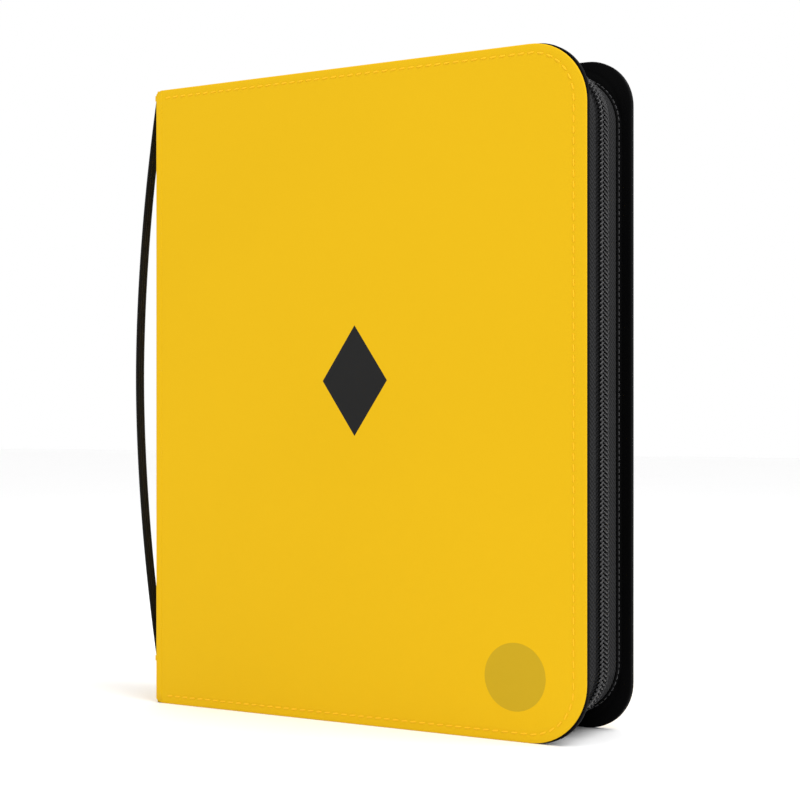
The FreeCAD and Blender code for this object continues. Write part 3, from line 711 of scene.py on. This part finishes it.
class BinderZip(bpy.types.PropertyGroup):
    """Sizes of the zip and the wall it is sewn into."""
    crown_inset: bpy.props.FloatProperty(
        name="Crown inset", description="Cover's edge to the wall beside the coil", default=4.9 * MM,
        unit="LENGTH")
    belly: bpy.props.FloatProperty(
        name="Belly", description="How far the wall falls back at the covers", default=1.0 * MM,
        unit="LENGTH")
    tooth_pitch: bpy.props.FloatProperty(
        name="Tooth pitch", description="From one turn of the coil to the next", default=2.32 * MM,
        unit="LENGTH")
    tooth_slant: bpy.props.FloatProperty(
        name="Tooth slant", description="Lean of the turns along the chain", default=0.5, subtype="ANGLE")
    thread: bpy.props.FloatProperty(
        name="Tape thread", description="Thread spacing of the tape, in millimetres", default=2.3)


class BinderStrap(bpy.types.PropertyGroup):
    """Sizes of the carry strap."""
    thickness: bpy.props.FloatProperty(
        name="Thickness", description="Thickness of the webbing", default=1.9 * MM, unit="LENGTH")
    rib_depth: bpy.props.FloatProperty(
        name="Rib depth", description="Share of the thickness that the ribs take", default=0.14)


class BinderPages(bpy.types.PropertyGroup):
    """Layout of the pages."""
    columns: bpy.props.IntProperty(
        name="Columns", description="Pockets across a page", default=3)
    rows: bpy.props.IntProperty(
        name="Rows", description="Pockets up a page", default=3)
    binding_margin: bpy.props.FloatProperty(
        name="Binding margin", description="Plain strip beside the spine", default=12 * MM, unit="LENGTH")


class BinderStage(bpy.types.PropertyGroup):
    """The view and the studio."""
    azimuth: bpy.props.FloatProperty(
        name="Azimuth", description="Camera's angle round from the front", default=np.radians(31.3),
        subtype="ANGLE")
    lens: bpy.props.FloatProperty(
        name="Lens", description="Focal length in millimetres", default=77.2)
    back: bpy.props.FloatProperty(
        name="Back", description="From the lower spine corner back to the camera", default=968.3 * MM,
        unit="LENGTH")
    aside: bpy.props.FloatProperty(
        name="Aside", description="From that corner to the camera's right", default=137.7 * MM, unit="LENGTH")
    eye_height: bpy.props.FloatProperty(
        name="Eye height", description="The camera's height above the floor", default=160 * MM, unit="LENGTH")
    key_power: bpy.props.FloatProperty(
        name="Key light", description="Power of the large front light", default=4.0, unit="POWER")
    overhead_share: bpy.props.FloatProperty(
        name="Overhead share", description="Overhead light over key light", default=3.5)


# Operators ------------------------------------------------------------------

class PieceOperator:
    """Shared settings of the piece operators."""
    bl_options = {"REGISTER", "UNDO"}


class BINDER_OT_finishes(PieceOperator, bpy.types.Operator):
    """Make the binder's materials"""
    bl_idname = "binder.finishes"
    bl_label = "Finishes"

    def execute(self, context):
        make_finishes()
        frame_finishes = {
            "front_cover_foam": "foam", "rear_cover_foam": "foam", "front_cover_board": "greyboard",
            "rear_cover_board": "greyboard", "spine_board": "greyboard", "spine_lining": "black cloth",
            "page_binding": "binding cloth", "front_emblem": "emblem print", "corner_badge": "corner print",
            "zip_stops": "black plating", "zip_slider": "black plating", "handle_anchor_low": "yellow cloth",
            "handle_anchor_high": "yellow cloth",
        }
        for node, finish in frame_finishes.items():
            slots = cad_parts[node].data.materials
            slots.clear()
            slots.append(FINISHES[finish])
        return {"FINISHED"}


class BINDER_OT_covers(PieceOperator, bpy.types.Operator):
    """Make the yellow faces and black linings of both covers"""
    bl_idname = "binder.covers"
    bl_label = "Covers"

    def execute(self, context):
        covers = context.scene.binder_covers
        # Insets and depths in millimetres: the turned edge first, then the rings towards the middle.
        inner = np.concatenate([np.arange(2.0, 12.0, 0.45), [14.0, 20.0, 40.0, 80.0, 130.0]])
        edge_insets = [0.7, 0.25, 0.05, 0.0, 0.08, 0.3, 0.8]
        edge_depths = [0.86, 0.86, 0.75, 0.55, 0.3, 0.14, 0.06]
        turn_insets = [1.0, 0.3, 0.1, 0.1, 0.2, 0.5, 1.0]
        turn_depths = [0.9, 0.9, 1.2, 3.6, 4.1, 4.33, 4.4]
        face_depths = np.concatenate([edge_depths, np.full(len(inner), 0.03)])
        lining_insets = np.concatenate([turn_insets, inner])
        lining_depths = np.concatenate([turn_depths, np.full(len(inner), 4.4)])
        for side in SIDES:
            # The rear cloth stops just short of the turned black edge.
            held_in = 0.45 if side == "rear" else 0.0
            face_insets = np.concatenate([np.add(edge_insets, held_in), inner])
            skin = cover_shell(f"{side}_face_cloth", side, face_insets, face_depths, 0.13 * MM,
                               covers.corner_radius, FINISHES["yellow cloth"])
            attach(skin, f"{side}_cover")
            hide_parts(f"{side}_cover_skin")
            lining = cover_shell(f"{side}_lining_cloth", side, lining_insets, lining_depths, -0.12 * MM,
                                 getattr(covers, f"{side}_lining"), FINISHES["black cloth"])
            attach(lining, f"{side}_cover")
            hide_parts(f"{side}_cover_lining")
        return {"FINISHED"}


class BINDER_OT_stitches(PieceOperator, bpy.types.Operator):
    """Sew the stitches along head, fore-edge and foot of both covers"""
    bl_idname = "binder.stitches"
    bl_label = "Stitches"

    def execute(self, context):
        for side in SIDES:
            outer = seam_line(f"{side}_face_stitches", side, 0.08 * MM, 3.7 * MM, FINISHES["yellow thread"])
            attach(outer, f"{side}_cover")
        return {"FINISHED"}


class BINDER_OT_spine(PieceOperator, bpy.types.Operator):
    """Make the spine's cloth and the two cloth hinges"""
    bl_idname = "binder.spine"
    bl_label = "Spine and hinges"

    def execute(self, context):
        covers = context.scene.binder_covers
        inward = 0.12 * MM
        low = (SPINE_X + inward, SPINE_LOW[1] + covers.wrap_radius, 0.0)
        high = (SPINE_HIGH[0], SPINE_HIGH[1] - covers.wrap_radius, HEIGHT)
        spine = slab("spine_cloth", low, high, 0.38 * MM, FINISHES["yellow cloth"])
        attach(spine, "spine")
        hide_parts("spine_skin")
        for side, sign in SIDES.items():
            outside = hinge_skin(f"{side}_hinge_cloth", side, 0.0, 0.35 * MM, FINISHES["yellow cloth"])
            inside = hinge_skin(f"{side}_hinge_lining", side, 0.38 * MM, 0.6 * MM, FINISHES["black cloth"])
            for wrap in (outside, inside):
                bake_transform(wrap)
        return {"FINISHED"}


class BINDER_OT_zip(PieceOperator, bpy.types.Operator):
    """Make both halves of the zip and the wall round the three open sides"""
    bl_idname = "binder.zip"
    bl_label = "Zip"

    def execute(self, context):
        for side in SIDES:
            body = f"{side}_cover"
            strip = zip_wall(f"{side}_wall_strip", side, STRIP_EDGE, LINING_DEPTH, 0.8 * MM, 1.0 * MM,
                             FINISHES["black cloth"])
            tape = zip_wall(f"{side}_tape", side, 0.3 * MM, STRIP_EDGE + 2 * MM, -0.2 * MM, 0.7 * MM,
                            FINISHES["zip tape"], dip=1.2 * MM)
            teeth = coil_teeth(f"{side}_coil_turns", side)
            held = zip_seam(f"{side}_coil_stitches", side, 0.78 * COIL_HALF, 1.45 * MM,
                            context.scene.binder_zip.tooth_pitch, FINISHES["black thread"])
            seam = zip_seam(f"{side}_wall_stitches", side, STRIP_EDGE + 1.4 * MM, 0.9 * MM, 3.2 * MM,
                            FINISHES["black thread"])
            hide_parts(f"{side}_gusset")
            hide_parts(f"{side}_zip_tape")
            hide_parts(f"{side}_zip_coil")
            for piece, slot in ((strip, "black_pu"), (tape, "zip_tape"), (teeth, "zip_coil"),
                                (held, "zip_tape"), (seam, "black_pu")):
                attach(piece, body)
        return {"FINISHED"}


class BINDER_OT_pull(PieceOperator, bpy.types.Operator):
    """Make the pull of the zip slider"""
    bl_idname = "binder.pull"
    bl_label = "Zip pull"

    def execute(self, context):
        low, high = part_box("zip_pull")
        outer = (high[2] - low[2]) / 2
        centre = (low[0] + outer, 0.0, (low[2] + high[2]) / 2)
        eye = ring_about_pin("pull_loop", centre, 0.85 * MM, outer - 0.02 * MM, 1.4 * MM,
                             FINISHES["black plating"])
        bar = zip_pull_tab()
        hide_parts("zip_pull")
        for piece in (bar, eye):
            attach(piece, "zip_pull")
        return {"FINISHED"}


class BINDER_OT_strap(PieceOperator, bpy.types.Operator):
    """Make the ribbed carry strap"""
    bl_idname = "binder.strap"
    bl_label = "Carry strap"

    def execute(self, context):
        strap = carry_strap()
        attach(strap, "handle")
        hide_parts("handle_strap")
        return {"FINISHED"}


class BINDER_OT_pages(PieceOperator, bpy.types.Operator):
    """Make the pocket pages"""
    bl_idname = "binder.pages"
    bl_label = "Pages"

    def execute(self, context):
        for node in PAGE_NODES:
            leaf = page_leaf(node)
            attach(leaf, node)
            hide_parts(node)
        return {"FINISHED"}


def soft_light(name, place, target, size, power):
    """A large square light that faces a target."""
    lamp = bpy.data.lights.new(name, "AREA")
    lamp.shape = "SQUARE"
    lamp.size = size
    lamp.energy = power
    holder = bpy.data.objects.new(name, lamp)
    holder.location = place
    aim = Vector(target) - Vector(place)
    holder.rotation_euler = aim.to_track_quat("-Z", "Y").to_euler()
    bpy.context.scene.collection.objects.link(holder)


class BINDER_OT_stage(PieceOperator, bpy.types.Operator):
    """Make the floor, the lights and the camera"""
    bl_idname = "binder.stage"
    bl_label = "Stage"

    def execute(self, context):
        stage = context.scene.binder_stage
        scene = context.scene
        scene.view_settings.view_transform = "Standard"
        world = bpy.data.worlds.new("studio")
        world.use_nodes = True
        background = world.node_tree.nodes["Background"]
        background.inputs["Color"].default_value = (1.0, 1.0, 1.0, 1.0)
        background.inputs["Strength"].default_value = 1.0
        scene.world = world
        half, under = 6.0, -1e-5
        corners = [(-half, -half, under), (half, -half, under), (half, half, under), (-half, half, under)]
        mesh = bpy.data.meshes.new("floor")
        mesh.from_pydata(corners, [], [(0, 1, 2, 3)])
        floor = bpy.data.objects.new("floor", mesh)
        scene.collection.objects.link(floor)
        mesh.materials.append(plain_finish("pale_floor", "#FAFAFA", "#FCFCFC", 0.8, spot_mm=400.0))
        soft_light("key", (-0.5, -1.5, 1.3), (0.0, 0.0, 0.17), 1.2, stage.key_power)
        soft_light("overhead", (0.75, -0.1, 1.35), (0.1, 0.0, 0.17), 0.9,
                   stage.key_power * stage.overhead_share)
        camera = bpy.data.cameras.new("camera")
        camera.lens = stage.lens
        camera.shift_x = 0.0006
        camera.shift_y = 0.0235
        camera.clip_start = 0.01
        holder = bpy.data.objects.new("camera", camera)
        # Set off from the front face's lower spine corner, then raised to the eye's height.
        corner = np.array([SPINE_X, -HALF_DEPTH])
        back = np.array([np.sin(stage.azimuth), -np.cos(stage.azimuth)])
        right = np.array([np.cos(stage.azimuth), np.sin(stage.azimuth)])
        place = corner + stage.back * back + stage.aside * right
        holder.location = (place[0], place[1], stage.eye_height)
        holder.rotation_euler = (np.pi / 2, 0.0, stage.azimuth)
        scene.collection.objects.link(holder)
        scene.camera = holder
        return {"FINISHED"}


class BINDER_PT_panel(bpy.types.Panel):
    """Lists the binder's pieces in the sidebar."""
    bl_label = "Card Binder"
    bl_idname = "BINDER_PT_panel"
    bl_space_type = "VIEW_3D"
    bl_region_type = "UI"
    bl_category = "Card Binder"

    def draw(self, context):
        for operator in OPERATORS:
            self.layout.operator(operator.bl_idname)
        for group in GROUPS:
            self.layout.separator()
            settings = getattr(context.scene, group)
            for name in settings.bl_rna.properties.keys():
                if name not in ("rna_type", "name"):
                    self.layout.prop(settings, name)


GROUPS = {
    "binder_covers": BinderCovers, "binder_zip": BinderZip, "binder_strap": BinderStrap,
    "binder_pages": BinderPages, "binder_stage": BinderStage,
}
OPERATORS = (
    BINDER_OT_stage, BINDER_OT_finishes, BINDER_OT_covers, BINDER_OT_stitches, BINDER_OT_spine, BINDER_OT_zip,
    BINDER_OT_pull, BINDER_OT_strap, BINDER_OT_pages,
)


def register():
    for group in GROUPS.values():
        bpy.utils.register_class(group)
    for name, group in GROUPS.items():
        setattr(bpy.types.Scene, name, bpy.props.PointerProperty(type=group))
    for operator in OPERATORS:
        bpy.utils.register_class(operator)
    bpy.utils.register_class(BINDER_PT_panel)


def unregister():
    bpy.utils.unregister_class(BINDER_PT_panel)
    for operator in reversed(OPERATORS):
        bpy.utils.unregister_class(operator)
    for name in GROUPS:
        delattr(bpy.types.Scene, name)
    for group in reversed(list(GROUPS.values())):
        bpy.utils.unregister_class(group)


def main():
    """Build every piece around the frame."""
    register()
    bpy.ops.binder.stage()
    bpy.ops.binder.finishes()
    bpy.ops.binder.covers()
    bpy.ops.binder.stitches()
    bpy.ops.binder.spine()
    bpy.ops.binder.zip()
    bpy.ops.binder.pull()
    bpy.ops.binder.strap()
    bpy.ops.binder.pages()


if __name__ == "__main__":
    main()
